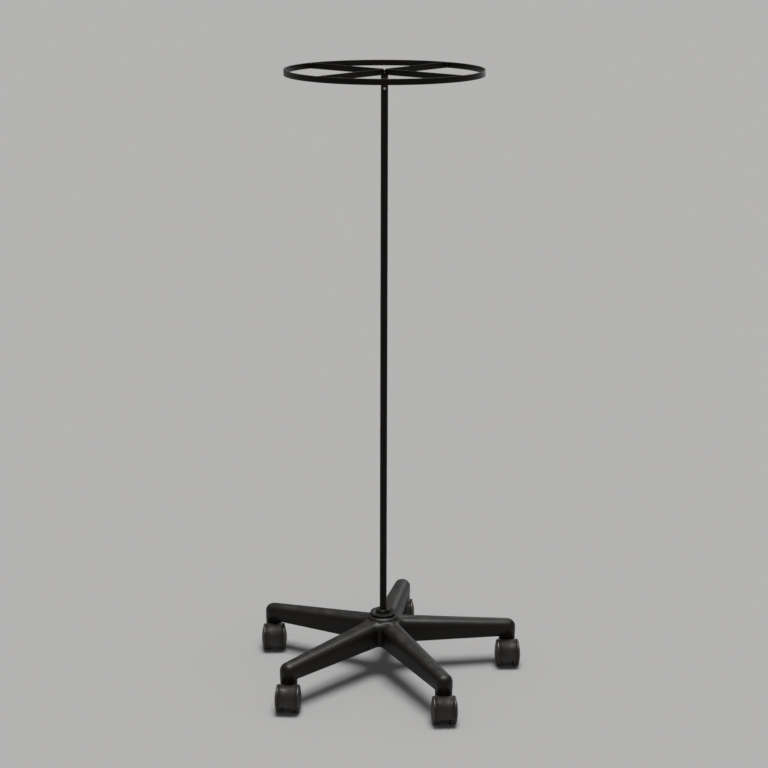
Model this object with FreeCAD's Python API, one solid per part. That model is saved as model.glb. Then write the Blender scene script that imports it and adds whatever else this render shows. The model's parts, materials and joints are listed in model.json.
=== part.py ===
"""Round garment rack: a hanging ring with four spokes on a slim post, in a five-leg base on casters.

Frame: +Z up, origin on the post's axis at floor level, +X to the right of the rack's front, -Y its front.
All lengths are millimetres and all angles are degrees.
"""
import FreeCAD, Part
import math
import os

from FreeCAD import Placement, Rotation, Vector

os.makedirs("parts", exist_ok=True)

# ---- fits ----
FIT = 0.05                  # radial clearance of a shaft, plug or screw in its own hole
END_GAP = 0.3               # gap between end faces that turn past each other
WELD_GAP = 0.1              # gap between a spoke and the slot it is welded into
SAME_SIZE = 1e-4            # two sizes closer than this are the same

# ---- hanging ring and spokes, cut from one flat bar set on edge ----
RING_OUTER_R = 215.9
BAR_THICKNESS = 3.175
BAR_HEIGHT = 12.7
RING_TOP_Z = 1383.7
SPOKE_COUNT = 4
FIRST_SPOKE_ANGLE = 49.5
SPOKE_START_R = 1.9         # inner end of each spoke, so that four square ends meet without crossing
SPOKE_TIP_CHAMFER = 3.0     # bevel on the upper inner corner, which leaves a notch over the post
BAR_EDGE_RADIUS = 0.5
WELD_LEG = 3.2              # leg of each fillet weld
WELD_SHORT = 0.6            # how far a fillet weld stops below the bar's top and above its foot

# ---- post ----
POST_R = 7.9375
POST_WALL = 2.0
POST_FOOT_Z = 86.0
SPIGOT_LENGTH = 62.0
SPIGOT_SLOT_DEPTH = 4.0
CENTRE_WELD_HEIGHT = 2.4
CENTRE_WELD_TOP_R = 3.4
SET_SCREW_R = 2.5
SET_SCREW_DROP = 28.5       # set screw's centre below the spokes
SET_SCREW_PROUD = 0.6
SET_SCREW_KEY_AF = 2.5
SET_SCREW_KEY_DEPTH = 1.3

# ---- hub bushing and the bolt that draws the post down ----
TAPER_TOP_R = 14.0
TAPER_FOOT_R = 13.0
BUSHING_COLLAR_R = 15.5
BUSHING_COLLAR_HEIGHT = 7.5
BUSHING_FOOT_Z = 76.0
COLLAR_CHAMFER = 1.6
FOOT_PLUG_LENGTH = 26.0
BOLT_R = 4.0
BOLT_REACH = 38.0           # shank length above the lock washer
BOLT_HEAD_AF = 13.0
BOLT_HEAD_HEIGHT = 5.3
WASHER_R = 15.0
WASHER_THICKNESS = 2.5
LOCK_WASHER_R = 7.4
LOCK_WASHER_THICKNESS = 2.2
LOCK_WASHER_SPLIT = 1.5

# ---- star base ----
LEG_COUNT = 5
FIRST_LEG_ANGLE = 8.6
STEM_CIRCLE_R = 292.8       # post axis to each caster stem
LEG_END_R = 19.5            # half width of a leg at its end, and radius of its caster socket
LEG_ROOT_R = 25.5           # half width that a leg's sides would have at the post axis
VALLEY_R = 9.0              # inside corner between two legs, seen from above
LEG_TOP_END_Z = 105.2       # top of a leg over its caster stem
LEG_TOP_ROOT_Z = 130.5      # top of the legs' slope, carried on to the post axis
LEG_FOOT_END_Z = 71.0
LEG_FOOT_ROOT_Z = 74.0
LEG_TOP_ROUND = 17.5        # round along the legs' upper edges
LEG_WALL = 3.4
LEG_ROOF = 4.0
SEAT_Z = 61.5               # lower face of each caster socket
SOCKET_STEP = 0.5           # socket is this much slimmer than the leg end above it
SOCKET_OVERLAP = 8.0        # how far the socket's cylinder runs up inside the leg end
SOCKET_EDGE = 0.5           # bevel round the socket's lower rim
HUB_RIM_R = 29.5
HUB_RIM_Z = 142.0
HUB_RIM_HEIGHT = 5.0
HUB_NECK_R = 28.0           # groove under the rim
HUB_NECK_HEIGHT = 2.2
HUB_SKIRT_R = 38.0          # where the cone under the groove meets the legs
HUB_SKIRT_TOP_R = 32.5
HUB_SKIRT_Z = 126.0
HUB_SKIRT_ROOT = 1.5        # how far the cone's foot is sunk into the legs' roof
HUB_RIM_EDGE = 1.2
HUB_TUBE_R = 22.0
HUB_TUBE_FOOT_Z = 73.0
HUB_SEAT_STEP = 1.5         # the flat seat for the washer is this much slimmer than the hub tube
HUB_SEAT_HEIGHT = 6.0
RIB_THICKNESS = 2.6
RIB_FOOT_RISE = 4.0         # ribs stop this far above the legs' lower edge
CROSS_RIB_COUNT = 4

# ---- caster stem, seated in each leg ----
STEM_R = 5.55
STEM_REACH = 24.0           # height above the seat
STEM_FLANGE_R = 9.0
STEM_FLANGE_THICKNESS = 0.8
PIVOT_R = 5.0
PIVOT_FOOT_Z = 34.0
STEM_TIP_CHAMFER = 1.2
GRIP_GROOVE_R = 4.7
GRIP_GROOVE_Z = 78.5        # middle of the groove
GRIP_GROOVE_HEIGHT = 3.0
GRIP_RING_HEIGHT = 2.6
GRIP_RING_SPLIT = 2.5
CLIP_R = 6.6
CLIP_THICKNESS = 1.0
CLIP_GROOVE_R = 4.2
CLIP_SPLIT = 5.0

# ---- twin-wheel caster ----
WHEEL_R = 28.5
TRAIL = 21.3                # stem axis to axle
WHEEL_INNER_FACE = 11.0     # hub face of a wheel from the caster's middle plane
WHEEL_RIM_INSET = 0.5       # rim's inner face is this far outside the hub face
WHEEL_SHOULDER = 24.8       # where the tread ends and the domed face starts
WHEEL_CROWN = 29.6          # highest point of the domed face
WHEEL_SKIN = 2.4
WHEEL_RIM_THICKNESS = 3.2
WHEEL_HUB_R = 8.0
WHEEL_EDGE_ROUND = 1.8
WHEEL_RIB_COUNT = 5
WHEEL_RIB_THICKNESS = 2.0
WHEEL_RING_R = 16.5         # groove in the domed face
WHEEL_RING_WIDTH = 1.4
WHEEL_RING_DEPTH = 0.8
AXLE_R = 4.0
AXLE_CROWN_GAP = 3.2        # axle end to the crown of the wheel
AXLE_CHAMFER = 0.8
HOOD_CLEARANCE = 0.8        # hood lining to tread
HOOD_WALL = 3.2
HOOD_HALF_WIDTH = 25.5
HOOD_FOOT_Z = 23.0
HOOD_EDGE_ROUND = 3.0
HOOD_GROOVE_AT = 20.2       # decorative groove from the middle plane
HOOD_GROOVE_WIDTH = 1.2
HOOD_GROOVE_DEPTH = 0.7
HOOD_WEB_HALF = 9.4
HOOD_COLLAR_R = 18.8        # neck under the leg's socket
HOOD_COLLAR_TAPER_Z = 50.0  # below this the neck narrows
HOOD_COLLAR_FOOT_R = 13.0
HOOD_COLLAR_FOOT_Z = 33.0
AXLE_BOSS_R = 8.0
AXLE_BOSS_HALF = 10.6
CLIP_POCKET_R = 7.2
CLIP_RUNNING_GAP = 0.4

# How each caster stands, as its turn about its stem from trailing straight to the front.
CASTER_TURNS = {
    "right": 2.0,
    "back": 0.0,
    "left": 3.5,
    "front_left": -3.0,
    "front_right": 3.0,
}

# ---- derived places ----
LEG_STEP = 360.0 / LEG_COUNT
SPOKE_STEP = 360.0 / SPOKE_COUNT
RING_INNER_R = RING_OUTER_R - BAR_THICKNESS
SPOKE_FOOT_Z = RING_TOP_Z - BAR_HEIGHT
POST_BORE_R = POST_R - POST_WALL
SPIGOT_R = POST_BORE_R - FIT
POST_TOP_Z = SPOKE_FOOT_Z - END_GAP
SPIGOT_TOP_Z = SPOKE_FOOT_Z + SPIGOT_SLOT_DEPTH
SET_SCREW_Z = SPOKE_FOOT_Z - SET_SCREW_DROP
WASHER_TOP_Z = HUB_TUBE_FOOT_Z
LOCK_WASHER_TOP_Z = WASHER_TOP_Z - WASHER_THICKNESS
BOLT_SEAT_Z = LOCK_WASHER_TOP_Z - LOCK_WASHER_THICKNESS
SOCKET_BORE_R = STEM_R + FIT
AXLE_Z = WHEEL_R
HOOD_LINING_R = WHEEL_R + HOOD_CLEARANCE
HOOD_OUTER_R = HOOD_LINING_R + HOOD_WALL
FLANGE_FOOT_Z = SEAT_Z - STEM_FLANGE_THICKNESS
HOOD_COLLAR_TOP_Z = FLANGE_FOOT_Z - END_GAP
PIVOT_BORE_R = PIVOT_R + FIT
CLIP_TOP_Z = PIVOT_FOOT_Z + 2.0 * CLIP_THICKNESS
PIVOT_SHOULDER_Z = CLIP_TOP_Z + CLIP_RUNNING_GAP
AXLE_HALF_LENGTH = WHEEL_CROWN - AXLE_CROWN_GAP

UP = Vector(0, 0, 1)
ALONG_X = Vector(1, 0, 0)
ORIGIN = Vector(0, 0, 0)


# ---- small helpers ----
def cylinder(radius, z_low, z_high):
    """Upright cylinder on the Z axis between two heights."""
    return Part.makeCylinder(radius, z_high - z_low, Vector(0, 0, z_low), UP)


def tube(outer_r, inner_r, z_low, z_high):
    """Upright tube on the Z axis between two heights."""
    return cylinder(outer_r, z_low, z_high).cut(cylinder(inner_r, z_low, z_high))


def cone(r_low, r_high, z_low, z_high):
    """Upright cone frustum on the Z axis."""
    return Part.makeCone(r_low, r_high, z_high - z_low, Vector(0, 0, z_low), UP)


def block(x_span, y_span, z_span):
    """Box between a low and a high value on each axis."""
    corner = Vector(x_span[0], y_span[0], z_span[0])
    return Part.makeBox(x_span[1] - x_span[0], y_span[1] - y_span[0], z_span[1] - z_span[0], corner)


def turned(shape, degrees):
    """Copy of a shape turned about the Z axis."""
    copy = shape.copy()
    copy.rotate(ORIGIN, UP, degrees)
    return copy


def moved(shape, offset):
    """Copy of a shape moved by a vector."""
    copy = shape.copy()
    copy.translate(offset)
    return copy


def polygon_face(points):
    """Flat face inside a closed outline of straight edges."""
    return Part.Face(Part.makePolygon(points + [points[0]]))


def polar(radius, angle, z):
    """Point at a radius and an angle in radians about the Z axis."""
    return Vector(radius * math.cos(angle), radius * math.sin(angle), z)


def hexagon_prism(across_flats, z_low, z_high):
    """Upright hexagonal prism on the Z axis."""
    corner_r = across_flats / 2.0 / math.cos(math.pi / 6.0)
    corners = [polar(corner_r, k * math.pi / 3.0, z_low) for k in range(6)]
    return polygon_face(corners).extrude(Vector(0, 0, z_high - z_low))


def split_ring(outer_r, inner_r, z_low, z_high, split):
    """Upright ring with a gap of the given width on its +X side."""
    ring = tube(outer_r, inner_r, z_low, z_high)
    return ring.cut(block((0.0, 2.0 * outer_r), (-split / 2.0, split / 2.0), (z_low, z_high)))


def round_edges(shape, radius):
    """Circular edges of a shape that have one radius."""
    return [
        edge for edge in shape.Edges
        if not edge.Degenerated
        and isinstance(edge.Curve, Part.Circle)
        and abs(edge.Curve.Radius - radius) < SAME_SIZE
    ]


def circle_edges(shape, radius, z):
    """Circular edges of a shape that have one radius and lie at one height."""
    return [edge for edge in round_edges(shape, radius) if abs(edge.Curve.Center.z - z) < SAME_SIZE]


def one_solid(shape):
    """The single solid that a boolean result holds."""
    solids = shape.Solids
    if len(solids) != 1:
        raise ValueError("expected one solid, found %d" % len(solids))
    return solids[0]


# ---- ring, spokes and their welds ----
def hanging_ring():
    """Flat-bar hoop on edge, with eased corners."""
    hoop = tube(RING_OUTER_R, RING_INNER_R, SPOKE_FOOT_Z, RING_TOP_Z)
    rims = []
    for radius in (RING_OUTER_R, RING_INNER_R):
        for z in (SPOKE_FOOT_Z, RING_TOP_Z):
            rims += circle_edges(hoop, radius, z)
    return one_solid(hoop.makeFillet(BAR_EDGE_RADIUS, rims))


def spoke_blank():
    """One spoke along +X, with a bevelled upper corner at its inner end and a cut to suit the hoop."""
    bar = block(
        (SPOKE_START_R, RING_INNER_R + BAR_THICKNESS / 2.0),
        (-BAR_THICKNESS / 2.0, BAR_THICKNESS / 2.0),
        (SPOKE_FOOT_Z, RING_TOP_Z),
    )
    long_edges = [
        edge for edge in bar.Edges
        if edge.Length > RING_INNER_R / 2.0
    ]
    bar = bar.makeFillet(BAR_EDGE_RADIUS, long_edges)
    tip = polygon_face([
        Vector(SPOKE_START_R, -BAR_THICKNESS, RING_TOP_Z - SPOKE_TIP_CHAMFER),
        Vector(SPOKE_START_R + SPOKE_TIP_CHAMFER, -BAR_THICKNESS, RING_TOP_Z),
        Vector(SPOKE_START_R, -BAR_THICKNESS, RING_TOP_Z),
    ]).extrude(Vector(0, 2.0 * BAR_THICKNESS, 0))
    bar = bar.cut(tip)
    return one_solid(bar.common(cylinder(RING_INNER_R, SPOKE_FOOT_Z, RING_TOP_Z)))


def ring_weld_pair():
    """Two fillet welds, one each side of a spoke along +X, where it meets the hoop."""
    beads = []
    for side in (-1.0, 1.0):
        face_y = side * BAR_THICKNESS / 2.0
        wall_x = math.sqrt(RING_INNER_R ** 2 - face_y ** 2)
        bead = polygon_face([
            Vector(wall_x - WELD_LEG, face_y, SPOKE_FOOT_Z + WELD_SHORT),
            Vector(wall_x + WELD_LEG, face_y, SPOKE_FOOT_Z + WELD_SHORT),
            Vector(wall_x + WELD_LEG, face_y + side * 2.0 * WELD_LEG, SPOKE_FOOT_Z + WELD_SHORT),
        ]).extrude(Vector(0, 0, BAR_HEIGHT - 2.0 * WELD_SHORT))
        beads.append(one_solid(bead.common(cylinder(RING_INNER_R, SPOKE_FOOT_Z, RING_TOP_Z))))
    return beads


def ring_welds():
    """All fillet welds between the spokes and the hoop."""
    beads = []
    for k in range(SPOKE_COUNT):
        beads += [turned(bead, FIRST_SPOKE_ANGLE + k * SPOKE_STEP) for bead in ring_weld_pair()]
    return Part.makeCompound(beads)


def ring_spigot():
    """Round bar under the spokes, slotted crosswise to take them, that plugs into the post."""
    bar = cylinder(SPIGOT_R, SPIGOT_TOP_Z - SPIGOT_LENGTH, SPIGOT_TOP_Z)
    bar = bar.makeChamfer(STEM_TIP_CHAMFER, circle_edges(bar, SPIGOT_R, SPIGOT_TOP_Z - SPIGOT_LENGTH))
    half_slot = BAR_THICKNESS / 2.0 + WELD_GAP
    slot = block((-POST_R, POST_R), (-half_slot, half_slot), (SPOKE_FOOT_Z, RING_TOP_Z))
    bar = bar.cut(turned(slot, FIRST_SPOKE_ANGLE))
    return one_solid(bar.cut(turned(slot, FIRST_SPOKE_ANGLE + SPOKE_STEP)))


def centre_weld(spokes):
    """Weld metal piled in the four corners where the spokes stand on the spigot."""
    pile = cone(SPIGOT_R, CENTRE_WELD_TOP_R, SPIGOT_TOP_Z, SPIGOT_TOP_Z + CENTRE_WELD_HEIGHT)
    for spoke in spokes:
        pile = pile.cut(spoke)
    return Part.makeCompound(pile.Solids)


# ---- post ----
def post_tube():
    """Steel tube from the hub bushing to just under the spokes, tapped for the set screw."""
    pipe = tube(POST_R, POST_BORE_R, POST_FOOT_Z, POST_TOP_Z)
    tapped = Part.makeCylinder(SET_SCREW_R + FIT, 2.0 * POST_R, Vector(0, 0, SET_SCREW_Z), Vector(0, -1, 0))
    return one_solid(pipe.cut(tapped))


def ring_set_screw():
    """Socket set screw through the front of the post, pressing on the spigot."""
    tip_y = SPIGOT_R
    length = POST_R + SET_SCREW_PROUD - tip_y
    screw = cylinder(SET_SCREW_R, 0.0, length)
    screw = screw.cut(hexagon_prism(SET_SCREW_KEY_AF, length - SET_SCREW_KEY_DEPTH, length))
    screw.rotate(ORIGIN, ALONG_X, 90.0)
    return one_solid(moved(screw, Vector(0, -tip_y, SET_SCREW_Z)))


def post_foot_plug():
    """Threaded plug in the foot of the post; the thread is left plain."""
    return one_solid(tube(POST_BORE_R - FIT, BOLT_R + FIT / 2.0, POST_FOOT_Z, POST_FOOT_Z + FOOT_PLUG_LENGTH))


# ---- hub bushing, washers and bolt ----
def taper_radius(z):
    """Radius of the hub's tapered bore at a height."""
    share = (z - HUB_TUBE_FOOT_Z) / (HUB_RIM_Z - HUB_TUBE_FOOT_Z)
    return TAPER_FOOT_R + share * (TAPER_TOP_R - TAPER_FOOT_R)


def hub_bushing():
    """Tapered adapter that holds the post upright in the hub, with a collar resting on the rim."""
    body = cone(taper_radius(BUSHING_FOOT_Z) - FIT, TAPER_TOP_R - FIT, BUSHING_FOOT_Z, HUB_RIM_Z)
    collar_top_z = HUB_RIM_Z + BUSHING_COLLAR_HEIGHT
    collar = cylinder(BUSHING_COLLAR_R, HUB_RIM_Z, collar_top_z)
    collar = collar.makeChamfer(COLLAR_CHAMFER, circle_edges(collar, BUSHING_COLLAR_R, collar_top_z))
    body = body.fuse(collar)
    body = body.cut(cylinder(POST_R + FIT, POST_FOOT_Z, collar_top_z))
    return one_solid(body.cut(cylinder(BOLT_R + END_GAP, BUSHING_FOOT_Z, POST_FOOT_Z)))


def foot_washer():
    """Broad washer under the hub."""
    return one_solid(tube(WASHER_R, BOLT_R + END_GAP, LOCK_WASHER_TOP_Z, WASHER_TOP_Z))


def foot_lock_washer():
    """Split spring washer, shown flat as it is when tight."""
    return one_solid(split_ring(
        LOCK_WASHER_R, BOLT_R + END_GAP, BOLT_SEAT_Z, LOCK_WASHER_TOP_Z, LOCK_WASHER_SPLIT))


def foot_bolt():
    """Hexagon bolt that draws the post and its bushing into the hub."""
    shank = cylinder(BOLT_R, BOLT_SEAT_Z, BOLT_SEAT_Z + BOLT_REACH)
    shank = shank.makeChamfer(STEM_TIP_CHAMFER, circle_edges(shank, BOLT_R, BOLT_SEAT_Z + BOLT_REACH))
    head = hexagon_prism(BOLT_HEAD_AF, BOLT_SEAT_Z - BOLT_HEAD_HEIGHT, BOLT_SEAT_Z)
    return one_solid(shank.fuse(head))


# ---- star base ----
def star_outline(end_r, root_r, valley_r, z):
    """Plan outline of the star: straight-sided legs, round ends and round valleys between them."""
    taper = math.asin((root_r - end_r) / STEM_CIRCLE_R)
    half_step = math.radians(LEG_STEP / 2.0)
    flare = half_step + taper
    crossing = root_r / math.sin(flare)
    valley_centre = crossing + valley_r / math.sin(flare)
    tangent = math.pi / 2.0 - taper
    edges = []
    for k in range(LEG_COUNT):
        lead = math.radians(FIRST_LEG_ANGLE + k * LEG_STEP)
        middle = lead + half_step
        end = polar(STEM_CIRCLE_R, lead, z)
        next_end = polar(STEM_CIRCLE_R, lead + 2.0 * half_step, z)
        hollow = polar(valley_centre, middle, z)
        side = lead + tangent
        next_side = lead + 2.0 * half_step - tangent
        leg_corner = end + polar(end_r, side, 0)
        valley_from = hollow - polar(valley_r, side, 0)
        valley_to = hollow - polar(valley_r, next_side, 0)
        edges.append(Part.Arc(end + polar(end_r, lead - tangent, 0), end + polar(end_r, lead, 0), leg_corner))
        edges.append(Part.LineSegment(leg_corner, valley_from))
        edges.append(Part.Arc(valley_from, hollow - polar(valley_r, middle, 0), valley_to))
        edges.append(Part.LineSegment(valley_to, next_end + polar(end_r, next_side, 0)))
    return Part.Wire(Part.__sortEdges__([edge.toShape() for edge in edges]))


def sloped_disc(top_root_z, top_end_z, foot_root_z, foot_end_z):
    """Round slab whose top and foot each slope evenly from the post axis to the stems' circle."""
    reach = STEM_CIRCLE_R + 2.0 * LEG_END_R
    share = reach / STEM_CIRCLE_R
    top_edge = top_root_z + (top_end_z - top_root_z) * share
    foot_edge = foot_root_z + (foot_end_z - foot_root_z) * share
    section = polygon_face([
        Vector(0, 0, foot_root_z),
        Vector(reach, 0, foot_edge),
        Vector(reach, 0, top_edge),
        Vector(0, 0, top_root_z),
    ])
    return section.revolve(ORIGIN, UP, 360.0)


def star_body(inset, roof, round_r):
    """Star of five legs. The inset shrinks it in plan, the roof lowers its top, for the hollow inside."""
    prism = Part.Face(star_outline(
        LEG_END_R - inset, LEG_ROOT_R - inset, VALLEY_R + inset, 0.0)).extrude(Vector(0, 0, HUB_RIM_Z))
    drop = 0.0 if roof == 0.0 else 2.0 * roof
    slab = sloped_disc(
        LEG_TOP_ROOT_Z - roof, LEG_TOP_END_Z - roof, LEG_FOOT_ROOT_Z - drop, LEG_FOOT_END_Z - drop)
    star = one_solid(prism.common(slab))
    middle_z = (LEG_TOP_END_Z + LEG_FOOT_ROOT_Z) / 2.0
    upper = [
        edge for edge in star.Edges
        if edge.BoundBox.ZMin > middle_z and edge.Length > 1.0
    ]
    return one_solid(star.makeFillet(round_r, upper))


def hub_cap():
    """Cone, groove and flat rim round the post's bushing."""
    neck_z = HUB_RIM_Z - HUB_RIM_HEIGHT
    root_z = HUB_SKIRT_Z - HUB_SKIRT_ROOT
    section = polygon_face([
        Vector(0, 0, root_z),
        Vector(HUB_SKIRT_R, 0, root_z),
        Vector(HUB_SKIRT_R, 0, HUB_SKIRT_Z),
        Vector(HUB_SKIRT_TOP_R, 0, neck_z - HUB_NECK_HEIGHT),
        Vector(HUB_NECK_R, 0, neck_z - HUB_NECK_HEIGHT),
        Vector(HUB_NECK_R, 0, neck_z),
        Vector(HUB_RIM_R, 0, neck_z),
        Vector(HUB_RIM_R, 0, HUB_RIM_Z),
        Vector(0, 0, HUB_RIM_Z),
    ])
    cap = section.revolve(ORIGIN, UP, 360.0)
    return cap.makeFillet(HUB_RIM_EDGE, circle_edges(cap, HUB_RIM_R, HUB_RIM_Z))


def leg_ribs():
    """Stiffening ribs inside the legs: one along each leg and several across it."""
    foot_z = LEG_FOOT_ROOT_Z + RIB_FOOT_RISE
    first_x = 2.0 * HUB_TUBE_R
    last_x = STEM_CIRCLE_R - LEG_END_R
    pitch = (last_x - first_x) / CROSS_RIB_COUNT
    half = RIB_THICKNESS / 2.0
    blanks = [block((0.0, STEM_CIRCLE_R), (-half, half), (foot_z, HUB_RIM_Z))]
    for k in range(CROSS_RIB_COUNT):
        x = first_x + (k + 0.5) * pitch
        blanks.append(block((x - half, x + half), (-LEG_ROOT_R, LEG_ROOT_R), (foot_z, HUB_RIM_Z)))
    ribs = blanks[0].multiFuse(blanks[1:])
    legs = [turned(ribs, FIRST_LEG_ANGLE + k * LEG_STEP) for k in range(LEG_COUNT)]
    return legs[0].multiFuse(legs[1:])


def at_stems(shape):
    """Copies of an upright shape, one on each caster stem's axis."""
    shifted = moved(shape, Vector(STEM_CIRCLE_R, 0, 0))
    return [turned(shifted, FIRST_LEG_ANGLE + k * LEG_STEP) for k in range(LEG_COUNT)]


def star_base():
    """Moulded base: hollow ribbed legs, a solid socket at each end and a tapered hub."""
    outside = star_body(0.0, 0.0, LEG_TOP_ROUND)
    hollow = star_body(LEG_WALL, LEG_ROOF, LEG_TOP_ROUND - LEG_WALL)
    keep = [leg_ribs(), cylinder(HUB_TUBE_R, 0.0, HUB_RIM_Z)]
    keep += at_stems(cylinder(LEG_END_R, 0.0, HUB_RIM_Z))
    hollow = hollow.cut(keep)
    base = outside.cut(hollow)
    socket_r = LEG_END_R - SOCKET_STEP
    socket = cylinder(socket_r, SEAT_Z, LEG_FOOT_END_Z + SOCKET_OVERLAP)
    socket = socket.makeChamfer(SOCKET_EDGE, circle_edges(socket, socket_r, SEAT_Z))
    washer_seat = cylinder(HUB_TUBE_R - HUB_SEAT_STEP, HUB_TUBE_FOOT_Z, HUB_TUBE_FOOT_Z + HUB_SEAT_HEIGHT)
    base = base.multiFuse(at_stems(socket) + [hub_cap(), washer_seat])
    base = base.cut(cone(TAPER_FOOT_R, TAPER_TOP_R, HUB_TUBE_FOOT_Z, HUB_RIM_Z))
    bores = at_stems(cylinder(SOCKET_BORE_R, SEAT_Z, SEAT_Z + STEM_REACH + END_GAP))
    return one_solid(base.cut(bores))


# ---- casters, each made on its own stem axis and trailing towards -Y ----
def caster_stem():
    """Steel stem: plain shank in the leg, flange at the seat and pivot pin in the caster."""
    top_z = SEAT_Z + STEM_REACH
    shank = cylinder(STEM_R, SEAT_Z, top_z)
    shank = shank.makeChamfer(STEM_TIP_CHAMFER, circle_edges(shank, STEM_R, top_z))
    stem = shank.fuse(cylinder(STEM_FLANGE_R, FLANGE_FOOT_Z, SEAT_Z))
    stem = stem.fuse(cylinder(PIVOT_R, PIVOT_FOOT_Z, FLANGE_FOOT_Z))
    half = GRIP_GROOVE_HEIGHT / 2.0
    stem = stem.cut(tube(STEM_FLANGE_R, GRIP_GROOVE_R, GRIP_GROOVE_Z - half, GRIP_GROOVE_Z + half))
    return one_solid(stem.cut(tube(STEM_FLANGE_R, CLIP_GROOVE_R, CLIP_TOP_Z - CLIP_THICKNESS, CLIP_TOP_Z)))


def grip_ring():
    """Split spring ring in the stem's groove, which grips the socket's wall."""
    foot_z = GRIP_GROOVE_Z - GRIP_RING_HEIGHT / 2.0
    top_z = GRIP_GROOVE_Z + GRIP_RING_HEIGHT / 2.0
    return one_solid(split_ring(STEM_R + FIT / 2.0, GRIP_GROOVE_R + FIT, foot_z, top_z, GRIP_RING_SPLIT))


def stem_clip():
    """Retaining clip under the caster's pivot bore."""
    foot_z = CLIP_TOP_Z - CLIP_THICKNESS
    return one_solid(split_ring(CLIP_R, CLIP_GROOVE_R + FIT, foot_z, CLIP_TOP_Z, CLIP_SPLIT))


def axle_cylinder(radius, x_low, x_high):
    """Cylinder on the caster's axle line between two distances from its middle plane."""
    return Part.makeCylinder(radius, x_high - x_low, Vector(x_low, -TRAIL, AXLE_Z), ALONG_X)


def rounded_band():
    """Outer barrel of the hood with rounded side edges and a groove near each."""
    band = axle_cylinder(HOOD_OUTER_R, -HOOD_HALF_WIDTH, HOOD_HALF_WIDTH)
    band = band.makeFillet(HOOD_EDGE_ROUND, round_edges(band, HOOD_OUTER_R))
    for side in (-1.0, 1.0):
        low_x = side * HOOD_GROOVE_AT - HOOD_GROOVE_WIDTH / 2.0
        high_x = low_x + HOOD_GROOVE_WIDTH
        groove = axle_cylinder(HOOD_OUTER_R + HOOD_GROOVE_DEPTH, low_x, high_x)
        band = band.cut(groove.cut(axle_cylinder(HOOD_OUTER_R - HOOD_GROOVE_DEPTH, low_x, high_x)))
    return band


def caster_hood():
    """Hood, central web and pivot boss in one moulding, open at both sides for the wheels."""
    collar = cylinder(HOOD_COLLAR_R, HOOD_COLLAR_TAPER_Z, HOOD_COLLAR_TOP_Z)
    collar = collar.fuse(cone(HOOD_COLLAR_FOOT_R, HOOD_COLLAR_R, HOOD_COLLAR_FOOT_Z, HOOD_COLLAR_TAPER_Z))
    hood = rounded_band().fuse(collar)
    for side in (-1.0, 1.0):
        low_x = HOOD_WEB_HALF if side > 0 else -2.0 * HOOD_HALF_WIDTH
        hood = hood.cut(axle_cylinder(HOOD_LINING_R, low_x, low_x + 2.0 * HOOD_HALF_WIDTH - HOOD_WEB_HALF))
    reach = TRAIL + HOOD_OUTER_R + HOOD_COLLAR_R
    hood = hood.cut(block((-reach, reach), (-reach, reach), (-HOOD_OUTER_R, HOOD_FOOT_Z)))
    hood = hood.fuse(axle_cylinder(AXLE_BOSS_R, -AXLE_BOSS_HALF, AXLE_BOSS_HALF))
    hood = hood.cut(cylinder(PIVOT_BORE_R, 0.0, SEAT_Z))
    hood = hood.cut(cylinder(CLIP_POCKET_R, 0.0, PIVOT_SHOULDER_Z))
    hood = hood.cut(axle_cylinder(AXLE_R + FIT / 2.0, -HOOD_HALF_WIDTH, HOOD_HALF_WIDTH))
    return one_solid(hood)


def wheel_axle():
    """Steel pin through the hood's web that carries both wheels."""
    pin = axle_cylinder(AXLE_R, -AXLE_HALF_LENGTH, AXLE_HALF_LENGTH)
    return one_solid(pin.makeChamfer(AXLE_CHAMFER, round_edges(pin, AXLE_R)))


def dome_sphere_radius():
    """Radius of the sphere that the wheel's face is part of."""
    rise = WHEEL_CROWN - WHEEL_SHOULDER
    return (WHEEL_R ** 2 + rise ** 2) / (2.0 * rise)


def dome_x(radius, inset):
    """Distance of the domed face from the middle plane, at a radius, moved inwards by an inset."""
    sphere = dome_sphere_radius()
    return WHEEL_CROWN - sphere + math.sqrt((sphere - inset) ** 2 - radius ** 2)


def wheel_profile_solid():
    """Wheel turned about X: hub, domed skin and rim, hollow towards the hood's web."""
    rim_inner_r = WHEEL_R - WHEEL_RIM_THICKNESS
    rim_face = WHEEL_INNER_FACE + WHEEL_RIM_INSET
    bore_r = AXLE_R + FIT
    bore_end = AXLE_HALF_LENGTH + FIT

    def point(x, radius):
        return Vector(x, radius, 0)

    def dome_arc(r_from, r_to, inset):
        r_middle = (r_from + r_to) / 2.0
        return Part.Arc(
            point(dome_x(r_from, inset), r_from),
            point(dome_x(r_middle, inset), r_middle),
            point(dome_x(r_to, inset), r_to),
        ).toShape()

    def straight(points):
        return [Part.LineSegment(a, b).toShape() for a, b in zip(points, points[1:])]

    edges = straight([
        point(WHEEL_CROWN, 0.0),
        point(bore_end, 0.0),
        point(bore_end, bore_r),
        point(WHEEL_INNER_FACE, bore_r),
        point(WHEEL_INNER_FACE, WHEEL_HUB_R),
        point(dome_x(WHEEL_HUB_R, WHEEL_SKIN), WHEEL_HUB_R),
    ])
    edges.append(dome_arc(WHEEL_HUB_R, rim_inner_r, WHEEL_SKIN))
    edges += straight([
        point(dome_x(rim_inner_r, WHEEL_SKIN), rim_inner_r),
        point(rim_face, rim_inner_r),
        point(rim_face, WHEEL_R),
        point(dome_x(WHEEL_R, 0.0), WHEEL_R),
    ])
    edges.append(dome_arc(WHEEL_R, 0.0, 0.0))
    section = Part.Face(Part.Wire(Part.__sortEdges__(edges)))
    return section.revolve(ORIGIN, ALONG_X, 360.0)


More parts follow.
